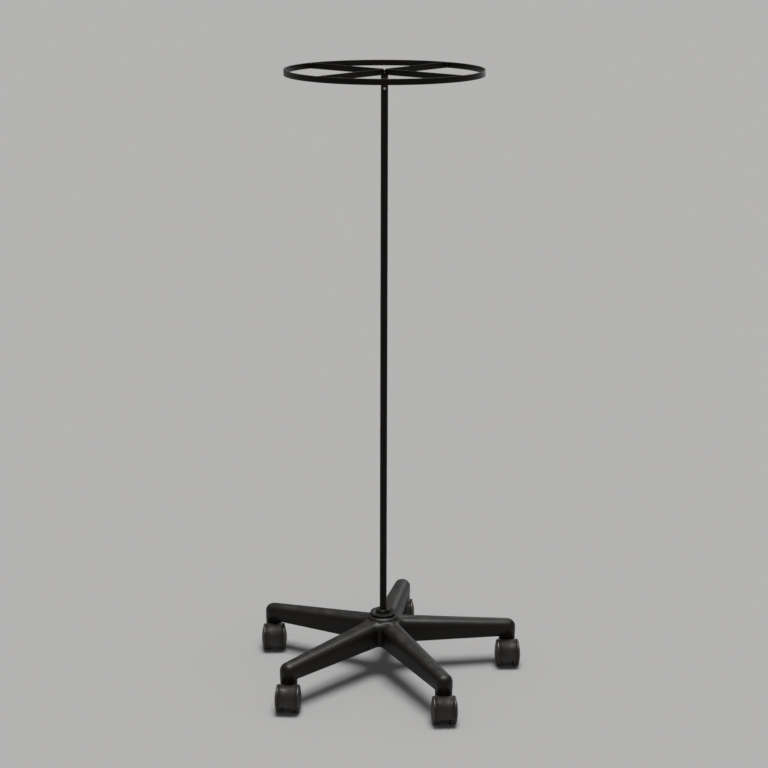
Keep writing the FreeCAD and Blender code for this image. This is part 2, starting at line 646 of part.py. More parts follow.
def wheel():
    """Right-hand wheel on its axle line: rounded tread corner, ring groove and inner ribs."""
    solid = wheel_profile_solid()
    solid = solid.makeFillet(WHEEL_EDGE_ROUND, round_edges(solid, WHEEL_R))
    groove_low = WHEEL_RING_R - WHEEL_RING_WIDTH / 2.0
    groove_high = WHEEL_RING_R + WHEEL_RING_WIDTH / 2.0
    floor_x = dome_x(WHEEL_RING_R, 0.0) - WHEEL_RING_DEPTH
    ring = Part.makeCylinder(groove_high, WHEEL_CROWN, Vector(floor_x, 0, 0), ALONG_X)
    solid = solid.cut(ring.cut(Part.makeCylinder(groove_low, WHEEL_CROWN, Vector(floor_x, 0, 0), ALONG_X)))
    rib_face = WHEEL_INNER_FACE + 2.0 * WHEEL_RIM_INSET
    inner_r = (AXLE_R + WHEEL_HUB_R) / 2.0
    outer_r = WHEEL_R - WHEEL_RIM_THICKNESS / 2.0
    skin_x = dome_x(outer_r, WHEEL_SKIN / 2.0)
    rib = polygon_face([
        Vector(rib_face, -WHEEL_RIB_THICKNESS / 2.0, inner_r),
        Vector(dome_x(inner_r, WHEEL_SKIN / 2.0), -WHEEL_RIB_THICKNESS / 2.0, inner_r),
        Vector(skin_x, -WHEEL_RIB_THICKNESS / 2.0, outer_r),
        Vector(rib_face, -WHEEL_RIB_THICKNESS / 2.0, outer_r),
    ]).extrude(Vector(0, WHEEL_RIB_THICKNESS, 0))
    ribs = []
    for k in range(WHEEL_RIB_COUNT):
        copy = rib.copy()
        copy.rotate(ORIGIN, ALONG_X, k * 360.0 / WHEEL_RIB_COUNT)
        ribs.append(copy)
    solid = one_solid(solid.multiFuse(ribs))
    return moved(solid, Vector(0, -TRAIL, AXLE_Z))


def other_side(right_wheel):
    """Left-hand wheel: the right one turned half a turn about the upright line through the axle."""
    copy = right_wheel.copy()
    copy.rotate(Vector(0, -TRAIL, 0), UP, 180.0)
    return copy


def caster_place(index, turn):
    """Placement of a caster on its stem axis, turned as it stands."""
    lead = math.radians(FIRST_LEG_ANGLE + index * LEG_STEP)
    foot = Vector(STEM_CIRCLE_R * math.cos(lead), STEM_CIRCLE_R * math.sin(lead), 0)
    return Placement(foot, Rotation(UP, turn))


def placed(shape, placement):
    """Copy of a shape put at a placement."""
    copy = shape.copy()
    copy.Placement = placement.multiply(copy.Placement)
    return copy


# ---- assembly ----
def ring_nodes():
    """Everything welded into the top, and the post with its fixings."""
    spoke = spoke_blank()
    spokes = [turned(spoke, FIRST_SPOKE_ANGLE + k * SPOKE_STEP) for k in range(SPOKE_COUNT)]
    nodes = {
        "hanging_ring": hanging_ring(),
        "ring_welds": ring_welds(),
        "ring_spigot": ring_spigot(),
        "centre_weld": centre_weld(spokes),
        "post_tube": post_tube(),
        "ring_set_screw": ring_set_screw(),
        "post_foot_plug": post_foot_plug(),
    }
    for k, one in enumerate(spokes, start=1):
        nodes["spoke_%d" % k] = one
    return nodes


def base_nodes():
    """The star base and what clamps the post into it."""
    return {
        "star_base": star_base(),
        "hub_bushing": hub_bushing(),
        "foot_washer": foot_washer(),
        "foot_lock_washer": foot_lock_washer(),
        "foot_bolt": foot_bolt(),
    }


def caster_nodes():
    """Five casters, each with its stem, clips, hood, axle and two wheels."""
    right_wheel = wheel()
    pattern = {
        "stem": caster_stem(),
        "grip_ring": grip_ring(),
        "stem_clip": stem_clip(),
        "hood": caster_hood(),
        "axle": wheel_axle(),
        "wheel_a": right_wheel,
        "wheel_b": other_side(right_wheel),
    }
    nodes = {}
    for index, (place, turn) in enumerate(CASTER_TURNS.items()):
        placement = caster_place(index, turn)
        for piece, shape in pattern.items():
            nodes["%s_caster_%s" % (place, piece)] = placed(shape, placement)
    return nodes


def main():
    """Build every node and write it to its own file."""
    nodes = {}
    nodes.update(ring_nodes())
    nodes.update(base_nodes())
    nodes.update(caster_nodes())
    for name, shape in nodes.items():
        if not shape.isValid():
            raise ValueError("%s is not a valid shape" % name)
        shape.exportStep("parts/%s.step" % name)
        print("%-28s %2d solid(s) %10.1f mm3" % (name, len(shape.Solids), shape.Volume))


main()
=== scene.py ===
# %% [markdown]
# # A round garment rack
# The rack is a slim black post in a five-leg moulded base on casters, with a flat-bar hanging ring on top.
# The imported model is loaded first, as a fixed frame: it says where every piece is and which body it moves
# with. Everything here is in metres, so a piece is put straight where the frame says, with no fitting.

# %% Load the frame
import bpy
import bmesh
import json
import math
from mathutils import Matrix, Vector


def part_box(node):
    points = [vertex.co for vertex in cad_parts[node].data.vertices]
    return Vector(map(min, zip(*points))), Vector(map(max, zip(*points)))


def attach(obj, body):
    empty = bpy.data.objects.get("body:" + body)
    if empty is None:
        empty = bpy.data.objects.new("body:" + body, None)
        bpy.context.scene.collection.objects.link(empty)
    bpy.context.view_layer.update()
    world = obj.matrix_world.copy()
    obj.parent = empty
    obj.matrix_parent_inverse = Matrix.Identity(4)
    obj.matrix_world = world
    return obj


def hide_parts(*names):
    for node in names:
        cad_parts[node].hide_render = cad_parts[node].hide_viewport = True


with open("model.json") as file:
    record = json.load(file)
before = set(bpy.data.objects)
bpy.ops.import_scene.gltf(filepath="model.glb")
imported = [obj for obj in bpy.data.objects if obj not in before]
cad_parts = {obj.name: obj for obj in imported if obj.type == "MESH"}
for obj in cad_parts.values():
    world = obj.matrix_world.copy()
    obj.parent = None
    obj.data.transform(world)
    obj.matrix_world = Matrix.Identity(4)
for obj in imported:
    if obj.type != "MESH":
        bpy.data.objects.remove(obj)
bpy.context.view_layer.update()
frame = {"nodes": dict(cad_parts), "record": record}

RECORD = frame["record"]
BODIES = RECORD["behaviour"]["bodies"]
NODE_BODY = {node: body for body, nodes in BODIES.items() for node in nodes}
NODE_SLOT = {part["node"]: part["material_slot"] for part in RECORD["subparts"]}
JOINTS = {joint["name"]: joint for joint in RECORD["behaviour"]["joints"]}
MM = 0.001

# %% [markdown]
# ## Camera
# The rack is seen from the front with a long lens, from a little above the ring, looking down. A short lens
# close up would make the front casters look far bigger than the back one, so the camera stands back. A
# small lens shift slides the picture instead of turning the camera, which keeps the post upright.

# %% Place the camera
CAMERA_PLACE = (-0.0136, -3.8432, 1.7462)
CAMERA_PITCH = 14.414
CAMERA_ROLL = 0.099
CAMERA_LENS = 83.72
CAMERA_SHIFT = (0.0082, -0.0411)


def link(name, data):
    """New object in the scene that holds some data."""
    thing = bpy.data.objects.new(name, data)
    bpy.context.scene.collection.objects.link(thing)
    return thing


def add_camera():
    """Camera in front of the rack, looking along +Y and down."""
    data = bpy.data.cameras.new("rack_camera")
    data.sensor_width = 36.0
    data.lens = CAMERA_LENS
    data.shift_x, data.shift_y = CAMERA_SHIFT
    data.clip_end = 300.0
    camera = link("rack_camera", data)
    turn = Matrix.Rotation(math.radians(90.0 - CAMERA_PITCH), 4, "X")
    roll = Matrix.Rotation(math.radians(CAMERA_ROLL), 4, "Z")
    camera.matrix_world = Matrix.Translation(CAMERA_PLACE) @ turn @ roll
    bpy.context.scene.camera = camera
    return camera


camera = add_camera()
print("camera at", [round(v, 3) for v in CAMERA_PLACE], "lens", CAMERA_LENS)

# %% [markdown]
# ## Studio
# A black object shows mostly what it reflects, so the floor and the reflections are lit apart from each
# other. A wide soft sun lights only matt surfaces: it gives the floor its even tone and the soft shadow
# under the base. Two soft panels are seen only by glossy surfaces. They put a sheen on the legs' tops and
# the casters' hoods. One set of lamps for both jobs would work too, but then brightening the sheen would
# also bleach the floor.

# %% Build the studio
FLOOR_REACH = 120.0
FLOOR_TONE = (0.478, 0.472, 0.468)
AIR_TONE = (0.20, 0.20, 0.20)
SUN_PLACE = (0.2, -0.2, 3.4)
SUN_SPREAD = 30.0
SUN_STRENGTH = 2.40

# Each panel's place, the point it faces, its two sides and its power in watts.
SHEEN_PANELS = {
    "overhead_panel": ((0.1, 0.1, 3.2), (0.0, 0.0, 0.1), (1.5, 1.5), 185.0),
    "back_panel": ((1.5, 3.8, 1.5), (0.0, 0.0, 0.2), (2.0, 1.3), 16.0),
}


def add_floor():
    """One large pale sheet under the rack."""
    mesh = bpy.data.meshes.new("studio_floor")
    corners = [(x * FLOOR_REACH, y * FLOOR_REACH, 0.0) for x, y in ((-1, -1), (1, -1), (1, 1), (-1, 1))]
    mesh.from_pydata(corners, [], [(0, 1, 2, 3)])
    floor = link("studio_floor", mesh)
    paper = bpy.data.materials.new("studio_paper")
    paper.use_nodes = True
    shader = paper.node_tree.nodes["Principled BSDF"]
    shader.inputs["Base Color"].default_value = (*FLOOR_TONE, 1.0)
    shader.inputs["Roughness"].default_value = 1.0
    shader.inputs["Specular IOR Level"].default_value = 0.0
    mesh.materials.append(paper)


def aim(lamp, place, target):
    """Put a lamp somewhere and turn it to look at a target."""
    lamp.location = place
    lamp.rotation_euler = (Vector(target) - Vector(place)).to_track_quat("-Z", "Y").to_euler()


def add_sun():
    """Wide soft light from above, which glossy surfaces don't see."""
    data = bpy.data.lights.new("soft_sun", "SUN")
    data.energy = SUN_STRENGTH
    data.angle = math.radians(SUN_SPREAD)
    sun = link("soft_sun", data)
    sun.visible_glossy = False
    aim(sun, SUN_PLACE, (0.0, 0.0, 0.0))


def add_sheen_panel(name, place, target, size, power):
    """Soft rectangular panel that only glossy surfaces see."""
    data = bpy.data.lights.new(name, "AREA")
    data.shape = "RECTANGLE"
    data.size, data.size_y = size
    data.energy = power
    panel = link(name, data)
    panel.visible_camera = False
    panel.visible_diffuse = False
    aim(panel, place, target)


def set_air():
    """Even grey surroundings."""
    world = bpy.data.worlds.new("studio_air")
    bpy.context.scene.world = world
    world.use_nodes = True
    world.node_tree.nodes["Background"].inputs["Color"].default_value = (*AIR_TONE, 1.0)


add_floor()
add_sun()
set_air()
for panel_name, panel_settings in SHEEN_PANELS.items():
    add_sheen_panel(panel_name, *panel_settings)
bpy.context.scene.view_settings.view_transform = "Standard"

# %% [markdown]
# ## Finishes from shared effects
# The rack has few finishes, but they share the same effects: a fine moulded or sprayed grain, a cloudy tone,
# dust that settles on whatever faces up, and hairline rubs. Each effect is built once as a node group.
# Copying the same nodes into every material would work, but then one fix has to be made in many places.
# The groups read a position on the piece, so nothing slides when a wheel turns or a caster swivels.

# %% A helper that builds a node group
SOCKETS = {
    "value": "NodeSocketFloat",
    "vector": "NodeSocketVector",
    "color": "NodeSocketColor",
    "geometry": "NodeSocketGeometry",
    "count": "NodeSocketInt",
    "object": "NodeSocketObject",
    "material": "NodeSocketMaterial",
}


def new_group(name, kind, inputs, outputs):
    """Empty node group with named sockets. Each input is a (name, kind, start value)."""
    tree = bpy.data.node_groups.new(name, kind)
    for label, sort, start in inputs:
        socket = tree.interface.new_socket(name=label, in_out="INPUT", socket_type=SOCKETS[sort])
        if start is not None:
            socket.default_value = start
    for label, sort in outputs:
        tree.interface.new_socket(name=label, in_out="OUTPUT", socket_type=SOCKETS[sort])
    return tree, tree.nodes.new("NodeGroupInput"), tree.nodes.new("NodeGroupOutput")


def plug(tree, node, values):
    """Set or wire a node's inputs. A value that is a socket is wired."""
    for label, value in values.items():
        socket = node.inputs[label]
        if isinstance(value, bpy.types.NodeSocket):
            tree.links.new(value, socket)
        else:
            socket.default_value = value


def add_node(tree, kind, values=None, **settings):
    """New node with its settings made and its inputs plugged."""
    node = tree.nodes.new(kind)
    for label, value in settings.items():
        setattr(node, label, value)
    plug(tree, node, values or {})
    return node


def math_of(tree, operation, first, second=0.0, clamp=False):
    """Result of one arithmetic node."""
    node = add_node(tree, "ShaderNodeMath", {0: first, 1: second}, operation=operation, use_clamp=clamp)
    return node.outputs[0]


def span_of(tree, value, low, high, to_low=0.0, to_high=1.0):
    """Smooth step of a value from one span to another."""
    node = add_node(tree, "ShaderNodeMapRange", {
        "Value": value, "From Min": low, "From Max": high, "To Min": to_low, "To Max": to_high,
    }, interpolation_type="SMOOTHSTEP")
    return node.outputs["Result"]


def mixed(tree, share, first, second):
    """Mix of two colours."""
    node = add_node(tree, "ShaderNodeMix", data_type="RGBA")
    for socket, value in ((node.inputs[0], share), (node.inputs[6], first), (node.inputs[7], second)):
        if isinstance(value, bpy.types.NodeSocket):
            tree.links.new(value, socket)
        else:
            socket.default_value = value
    return node.outputs[2]


def noise_of(tree, vector, scale, detail=2.0, roughness=0.5):
    """Value of a noise texture."""
    node = add_node(tree, "ShaderNodeTexNoise", {
        "Vector": vector, "Scale": scale, "Detail": detail, "Roughness": roughness})
    return node.outputs["Fac"]


print("kinds of socket:", ", ".join(SOCKETS))

# %% [markdown]
# ### Fine grain
# Powder coat dries with a soft orange-peel ripple, and a nylon mould is spark-eroded so that the part comes
# out with tiny pits. Both are one idea at two scales: a smooth noise for the ripple and rounded cells for
# the pits. The group gives a height for a Bump node and a mask that also varies the roughness.

# %% Group: fine grain


def fine_grain_group():
    """Height and mask of a moulded or sprayed surface texture."""
    tree, start, end = new_group(
        "fine_grain", "ShaderNodeTree",
        (("Vector", "vector", None), ("Scale", "value", 1500.0), ("Pits", "value", 0.5)),
        (("Height", "value"), ("Mask", "value")))
    ripple = noise_of(tree, start.outputs["Vector"], start.outputs["Scale"], detail=3.0)
    cells = add_node(tree, "ShaderNodeTexVoronoi", {
        "Vector": start.outputs["Vector"], "Scale": start.outputs["Scale"]}, feature="SMOOTH_F1")
    pits = math_of(tree, "MULTIPLY", cells.outputs["Distance"], start.outputs["Pits"])
    plug(tree, end, {
        "Height": math_of(tree, "ADD", ripple, pits),
        "Mask": span_of(tree, ripple, 0.35, 0.65),
    })
    return tree


FINE_GRAIN = fine_grain_group()
print("outputs:", [item.name for item in FINE_GRAIN.interface.items_tree if item.in_out == "OUTPUT"])

# %% [markdown]
# ### Cloudy tone
# No black is quite even: resin flows, and powder goes on thicker in places. Two noises, one broad and one
# small, shift the tone between a darker and a paler black. A single noise would look like camouflage.

# %% Group: cloudy tone


def cloudy_tone_group():
    """Colour that drifts between two tones."""
    tree, start, end = new_group(
        "cloudy_tone", "ShaderNodeTree",
        (
            ("Vector", "vector", None),
            ("Dark", "color", None),
            ("Pale", "color", None),
            ("Scale", "value", 20.0),
        ),
        (("Color", "color"), ("Mask", "value")))
    broad = noise_of(tree, start.outputs["Vector"], start.outputs["Scale"], detail=4.0)
    small_scale = math_of(tree, "MULTIPLY", start.outputs["Scale"], 9.0)
    small = noise_of(tree, start.outputs["Vector"], small_scale, detail=2.0)
    both = math_of(tree, "ADD", math_of(tree, "MULTIPLY", broad, 0.7), math_of(tree, "MULTIPLY", small, 0.3))
    mask = span_of(tree, both, 0.38, 0.62)
    plug(tree, end, {"Color": mixed(tree, mask, start.outputs["Dark"], start.outputs["Pale"]), "Mask": mask})
    return tree


CLOUDY_TONE = cloudy_tone_group()
print("inputs:", [item.name for item in CLOUDY_TONE.interface.items_tree if item.in_out == "INPUT"])

# %% [markdown]
# ### Settled dust
# Dust lies on what faces up, and collects in patches. The surface normal says what faces up, and a noise
# breaks the dust into patches. It could be painted by hand, but the normal finds every ledge by itself.

# %% Group: settled dust


def settled_dust_group():
    """Mask of thin dust on surfaces that face up."""
    tree, start, end = new_group(
        "settled_dust", "ShaderNodeTree",
        (("Vector", "vector", None), ("Amount", "value", 0.3), ("Scale", "value", 60.0)),
        (("Mask", "value"),))
    facing = add_node(tree, "ShaderNodeSeparateXYZ", {
        "Vector": add_node(tree, "ShaderNodeNewGeometry").outputs["Normal"]})
    up = span_of(tree, facing.outputs["Z"], 0.55, 1.0)
    clouds = noise_of(tree, start.outputs["Vector"], start.outputs["Scale"], detail=5.0)
    patches = span_of(tree, clouds, 0.42, 0.72)
    specks = span_of(tree, noise_of(tree, start.outputs["Vector"], 1400.0, detail=1.0), 0.60, 0.74)
    patch_share = math_of(tree, "MULTIPLY", patches, 0.6)
    speck_share = math_of(tree, "MULTIPLY", specks, 0.5)
    veil = math_of(tree, "ADD", patch_share, speck_share)
    mask = math_of(tree, "MULTIPLY", math_of(tree, "MULTIPLY", up, veil), start.outputs["Amount"], clamp=True)
    plug(tree, end, {"Mask": mask})
    return tree


SETTLED_DUST = settled_dust_group()
print("dust group has", len(SETTLED_DUST.nodes), "nodes")

# %% [markdown]
# ### Hairline rubs
# Hangers, shoes and cartons leave fine rubs. Noise squeezed along one axis makes short parallel hairs, and
# only its peaks are kept. The stretch is a vector, so the hairs can run round the ring or along a leg.

# %% Group: hairline rubs


def hairline_rubs_group():
    """Mask of fine rubs, drawn out along the axis that has the smallest stretch value."""
    tree, start, end = new_group(
        "hairline_rubs", "ShaderNodeTree",
        (("Vector", "vector", None), ("Stretch", "vector", (900.0, 30.0, 900.0)), ("Amount", "value", 0.5)),
        (("Mask", "value"),))
    drawn = add_node(tree, "ShaderNodeVectorMath", {
        0: start.outputs["Vector"], 1: start.outputs["Stretch"]}, operation="MULTIPLY").outputs[0]
    hairs = span_of(tree, noise_of(tree, drawn, 1.0, detail=2.0), 0.58, 0.70)
    places = span_of(tree, noise_of(tree, start.outputs["Vector"], 35.0, detail=3.0), 0.46, 0.60)
    rubbed = math_of(tree, "MULTIPLY", hairs, places)
    mask = math_of(tree, "MULTIPLY", rubbed, start.outputs["Amount"], clamp=True)
    plug(tree, end, {"Mask": mask})
    return tree


HAIRLINE_RUBS = hairline_rubs_group()

# %% [markdown]
# ### Way round the post
# Turned and rolled pieces are best described by how far out a point is, how far round, and how high.
# This group turns a position into those three lengths, so that rubs can run round the ring.

# %% Group: way round the post


def way_round_group():
    """Radius, arc length at a chosen radius, and height."""
    tree, start, end = new_group(
        "way_round", "ShaderNodeTree",
        (("Vector", "vector", None), ("Radius", "value", 0.2)),
        (("Vector", "vector"),))
    split = add_node(tree, "ShaderNodeSeparateXYZ", {"Vector": start.outputs["Vector"]})
    east, north = split.outputs["X"], split.outputs["Y"]
    east_square = math_of(tree, "MULTIPLY", east, east)
    north_square = math_of(tree, "MULTIPLY", north, north)
    square = math_of(tree, "ADD", east_square, north_square)
    arc = math_of(tree, "MULTIPLY", math_of(tree, "ARCTAN2", north, east), start.outputs["Radius"])
    joined = add_node(tree, "ShaderNodeCombineXYZ", {
        "X": math_of(tree, "SQRT", square), "Y": arc, "Z": split.outputs["Z"]})
    plug(tree, end, {"Vector": joined.outputs["Vector"]})
    return tree


WAY_ROUND = way_round_group()
EFFECTS = (FINE_GRAIN, CLOUDY_TONE, SETTLED_DUST, HAIRLINE_RUBS, WAY_ROUND)
print("effects:", [tree.name for tree in EFFECTS])

# %% [markdown]
# ## Materials
# Each finish is one Principled shader fed by the groups. What is the same all over, such as the specular
# level, is set on the shader's own socket. What changes over the surface, such as colour, roughness and the
# bump, is wired.

# %% Helpers for materials


def use_effect(tree, group, values):
    """Place a shared effect in a material with its own values."""
    node = tree.nodes.new("ShaderNodeGroup")
    node.node_tree = group
    plug(tree, node, values)
    return node.outputs


def new_finish(name, specular, metallic=0.0):
    """Material with a Principled shader and the position on the piece."""
    finish = bpy.data.materials.new(name)
    finish.use_nodes = True
    tree = finish.node_tree
    shader = tree.nodes["Principled BSDF"]
    shader.inputs["Specular IOR Level"].default_value = specular
    shader.inputs["Metallic"].default_value = metallic
    place = tree.nodes.new("ShaderNodeTexCoord").outputs["Object"]
    return finish, tree, shader, place


def bump_on(tree, shader, height, strength, depth):
    """Feed a height to the shader's normal."""
    bump = add_node(tree, "ShaderNodeBump", {"Height": height, "Strength": strength, "Distance": depth})
    tree.links.new(bump.outputs["Normal"], shader.inputs["Normal"])


def gray(level, warmth=0.06):
    """Slightly warm grey."""
    return (level * (1.0 + warmth), level, level * (1.0 - warmth), 1.0)


print("a warm black:", [round(v, 4) for v in gray(0.01)])

# %% [markdown]
# ### Black powder coat
# The ring, spokes and post are steel under a satin powder coat. It has a soft orange-peel ripple, and
# hanger hooks have rubbed the ring's upper edge a little paler and smoother, in hairs that run the way the
# hangers slide.

# %% Material: black powder coat
RING_TOP_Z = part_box("hanging_ring")[1][2]
BAR_HEIGHT = RING_TOP_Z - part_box("hanging_ring")[0][2]
RING_OUTER_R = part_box("hanging_ring")[1][0]


def powder_coat():
    """Satin black powder coat, rubbed along the ring's upper edge."""
    finish, tree, shader, place = new_finish("black_powder_coat", 0.14)
    around = use_effect(tree, WAY_ROUND, {"Vector": place, "Radius": RING_OUTER_R})["Vector"]
    tone = use_effect(tree, CLOUDY_TONE, {
        "Vector": place, "Dark": gray(0.0022, 0.50), "Pale": gray(0.0040, 0.45), "Scale": 26.0})
    grain = use_effect(tree, FINE_GRAIN, {"Vector": place, "Scale": 850.0, "Pits": 0.15})
    rubs = use_effect(tree, HAIRLINE_RUBS, {
        "Vector": around, "Stretch": (2200.0, 60.0, 1400.0), "Amount": 0.9})
    height = add_node(tree, "ShaderNodeSeparateXYZ", {"Vector": place}).outputs["Z"]
    edge = span_of(tree, height, RING_TOP_Z - 1.2 * MM, RING_TOP_Z - 0.2 * MM)
    worn = math_of(tree, "MULTIPLY", rubs["Mask"], edge)
    dust = use_effect(tree, SETTLED_DUST, {"Vector": place, "Amount": 0.10, "Scale": 80.0})["Mask"]
    colour = mixed(tree, worn, tone["Color"], gray(0.055, 0.05))
    colour = mixed(tree, dust, colour, gray(0.20, 0.08))
    tree.links.new(colour, shader.inputs["Base Color"])
    matt = span_of(tree, grain["Mask"], 0.0, 1.0, 0.40, 0.50)
    matt = math_of(tree, "SUBTRACT", matt, math_of(tree, "MULTIPLY", worn, 0.14))
    matt = math_of(tree, "ADD", matt, math_of(tree, "MULTIPLY", dust, 0.4))
    tree.links.new(matt, shader.inputs["Roughness"])
    bump_on(tree, shader, grain["Height"], 0.35, 0.06 * MM)
    return finish


POWDER_COAT = powder_coat()
print("ring top at", round(RING_TOP_Z, 4), "m, outside radius", round(RING_OUTER_R, 4), "m")

# %% [markdown]
# ### Moulded nylon
# The base, the hoods and the wheels are all glass-filled nylon from textured moulds, so one function makes
# all three. The base gets hairline rubs along its legs and a grey bloom of scuffs low down on the legs'
# ends. Wheels pick up grey floor dirt on the tread, which needs to know how far a point is from its own
# axle. Each wheel therefore carries that distance as an attribute in its mesh, since ten wheels share one
# material.

# %% Material: moulded nylon
TREAD_ATTRIBUTE = "from_axle"


def moulded_nylon(name, level, specular, grain_scale, matt_span, dust_amount, scuff_mask=None):
    """Black textured nylon with dust, and with scuffs where a mask says."""
    finish, tree, shader, place = new_finish(name, specular)
    tone = use_effect(tree, CLOUDY_TONE, {
        "Vector": place, "Dark": gray(level * 0.8, 0.30), "Pale": gray(level * 1.25, 0.26), "Scale": 14.0})
    grain = use_effect(tree, FINE_GRAIN, {"Vector": place, "Scale": grain_scale, "Pits": 0.8})
    dust = use_effect(tree, SETTLED_DUST, {"Vector": place, "Amount": dust_amount, "Scale": 45.0})["Mask"]
    rubs = use_effect(tree, HAIRLINE_RUBS, {"Vector": place, "Stretch": (320.0, 420.0, 260.0), "Amount": 0.5})
    colour = mixed(tree, rubs["Mask"], tone["Color"], gray(level * 3.0, 0.05))
    rough = span_of(tree, grain["Mask"], 0.0, 1.0, matt_span[0], matt_span[1])
    if scuff_mask is not None:
        scuffs = scuff_mask(tree, place)
        colour = mixed(tree, scuffs, colour, gray(0.075, 0.10))
        rough = math_of(tree, "ADD", rough, math_of(tree, "MULTIPLY", scuffs, 0.3))
    colour = mixed(tree, dust, colour, gray(0.22, 0.08))
    tree.links.new(colour, shader.inputs["Base Color"])
    rough = math_of(tree, "ADD", rough, math_of(tree, "MULTIPLY", dust, 0.3))
    tree.links.new(rough, shader.inputs["Roughness"])
    bump_on(tree, shader, grain["Height"], 0.45, 0.08 * MM)
    return finish


SCUFFS_START_R = 0.27
SCUFFS_FULL_R = 0.312
SCUFFS_TOP_Z = 0.098
SCUFFS_FULL_Z = 0.070
LEG_END_WAY_R = 0.3         # where the way round the post is measured for the hairs


def leg_end_scuffs(tree, place):
    """Scuffs low on the outer ends of the legs, where shoes and cartons knock them."""
    around = use_effect(tree, WAY_ROUND, {"Vector": place, "Radius": LEG_END_WAY_R})["Vector"]
    split = add_node(tree, "ShaderNodeSeparateXYZ", {"Vector": around})
    outside = span_of(tree, split.outputs["X"], SCUFFS_START_R, SCUFFS_FULL_R)
    low = span_of(tree, split.outputs["Z"], SCUFFS_TOP_Z, SCUFFS_FULL_Z)
    hairs = use_effect(tree, HAIRLINE_RUBS, {
        "Vector": around, "Stretch": (500.0, 110.0, 900.0), "Amount": 0.8})
    return math_of(tree, "MULTIPLY", math_of(tree, "MULTIPLY", outside, low), hairs["Mask"])


def tread_dirt(tree, place):
    """Grey dirt on a wheel's tread, patchy, and a trace in the corner next to it."""
    reach = add_node(tree, "ShaderNodeAttribute", attribute_name=TREAD_ATTRIBUTE).outputs["Fac"]
    tread = span_of(tree, reach, 0.90, 0.995)
    patches = span_of(tree, noise_of(tree, place, 260.0, detail=4.0), 0.36, 0.66)
    return math_of(tree, "MULTIPLY", math_of(tree, "MULTIPLY", tread, patches), 0.55)


BASE_NYLON = moulded_nylon(
    "black_nylon", level=0.0048, specular=0.25, grain_scale=2300.0,
    matt_span=(0.40, 0.52), dust_amount=0.16, scuff_mask=leg_end_scuffs)
HOOD_NYLON = moulded_nylon(
    "caster_nylon", level=0.0125, specular=0.50, grain_scale=3000.0,
    matt_span=(0.36, 0.46), dust_amount=0.14)
WHEEL_NYLON = moulded_nylon(
    "wheel_nylon", level=0.0065, specular=0.22, grain_scale=2600.0,
    matt_span=(0.42, 0.54), dust_amount=0.08, scuff_mask=tread_dirt)
print("nylons:", BASE_NYLON.name, HOOD_NYLON.name, WHEEL_NYLON.name)

# %% [markdown]
# ### Turned collar and zinc plate
# The collar at the post's foot is turned steel, blacked: its tool marks are fine rings, so its grain is
# drawn out round the post. Bolts, stems and axles are zinc plated: bright, faintly mottled and a little
# yellow.

# %% Materials: turned collar and zinc plate


def turned_collar():
    """Blacked turned steel with fine tool rings."""
    finish, tree, shader, place = new_finish("black_collar", 0.30, 0.0)
    around = use_effect(tree, WAY_ROUND, {"Vector": place, "Radius": 15.5 * MM})["Vector"]
    rings = use_effect(tree, HAIRLINE_RUBS, {
        "Vector": around, "Stretch": (5200.0, 25.0, 5200.0), "Amount": 0.8})
    tone = use_effect(tree, CLOUDY_TONE, {
        "Vector": place, "Dark": gray(0.0045, 0.12), "Pale": gray(0.0085, 0.10), "Scale": 120.0})
    colour = mixed(tree, rings["Mask"], tone["Color"], gray(0.03, 0.05))
    tree.links.new(colour, shader.inputs["Base Color"])
    tree.links.new(span_of(tree, tone["Mask"], 0.0, 1.0, 0.26, 0.40), shader.inputs["Roughness"])
    bump_on(tree, shader, rings["Mask"], 0.30, 0.03 * MM)
    return finish


def zinc_plate():
    """Zinc-plated steel, faintly mottled."""
    finish, tree, shader, place = new_finish("zinc_steel", 0.5, 1.0)
    tone = use_effect(tree, CLOUDY_TONE, {
        "Vector": place, "Dark": (0.42, 0.42, 0.41, 1.0), "Pale": (0.60, 0.60, 0.57, 1.0), "Scale": 160.0})
    grain = use_effect(tree, FINE_GRAIN, {"Vector": place, "Scale": 1800.0, "Pits": 0.2})
    rubs = use_effect(tree, HAIRLINE_RUBS, {"Vector": place, "Stretch": (700.0, 700.0, 90.0), "Amount": 0.6})
    colour = mixed(tree, rubs["Mask"], tone["Color"], (0.30, 0.30, 0.29, 1.0))
    tree.links.new(colour, shader.inputs["Base Color"])
    tree.links.new(span_of(tree, grain["Mask"], 0.0, 1.0, 0.28, 0.42), shader.inputs["Roughness"])
    bump_on(tree, shader, grain["Height"], 0.25, 0.03 * MM)
    return finish


FINISHES = {
    "black_powder_coat": POWDER_COAT,
    "black_nylon": BASE_NYLON,
    "caster_nylon": HOOD_NYLON,
    "wheel_nylon": WHEEL_NYLON,
    "black_collar": turned_collar(),
    "zinc_steel": zinc_plate(),
}
print("finishes:", ", ".join(FINISHES))

# %% [markdown]
# ## How pieces are made
# Three ways make the rack's visible pieces. What is turned is a profile spun round an axis in mesh code.
# What repeats or follows a path comes from a Geometry Nodes tree with named sizes, frozen into a plain mesh.
# What is already right in the frame is copied, its loose corners are joined and it is shaded smoothly.
# Hidden steel pieces stay as the frame's own nodes and just get the right finish.

# %% Helpers for pieces
SMOOTH_LIMIT = math.radians(32.0)
JOIN_DISTANCE = 0.002 * MM


def finish_piece(piece, nodes):
    """Shade a piece, give it its finish, say which body it rides on, and hide the frame nodes it stands for.
    """
    slot = NODE_SLOT[nodes[0]]
    piece.data.materials.clear()
    piece.data.materials.append(FINISHES[slot])
    piece.data.shade_smooth()
    piece.data.set_sharp_from_angle(angle=SMOOTH_LIMIT)
    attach(piece, NODE_BODY[nodes[0]])
    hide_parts(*nodes)
    return piece


def mesh_of(name, work):
    """Turn a bmesh into a mesh whose faces point outwards."""
    bmesh.ops.recalc_face_normals(work, faces=work.faces)
    mesh = bpy.data.meshes.new(name)
    work.to_mesh(mesh)
    work.free()
    return mesh


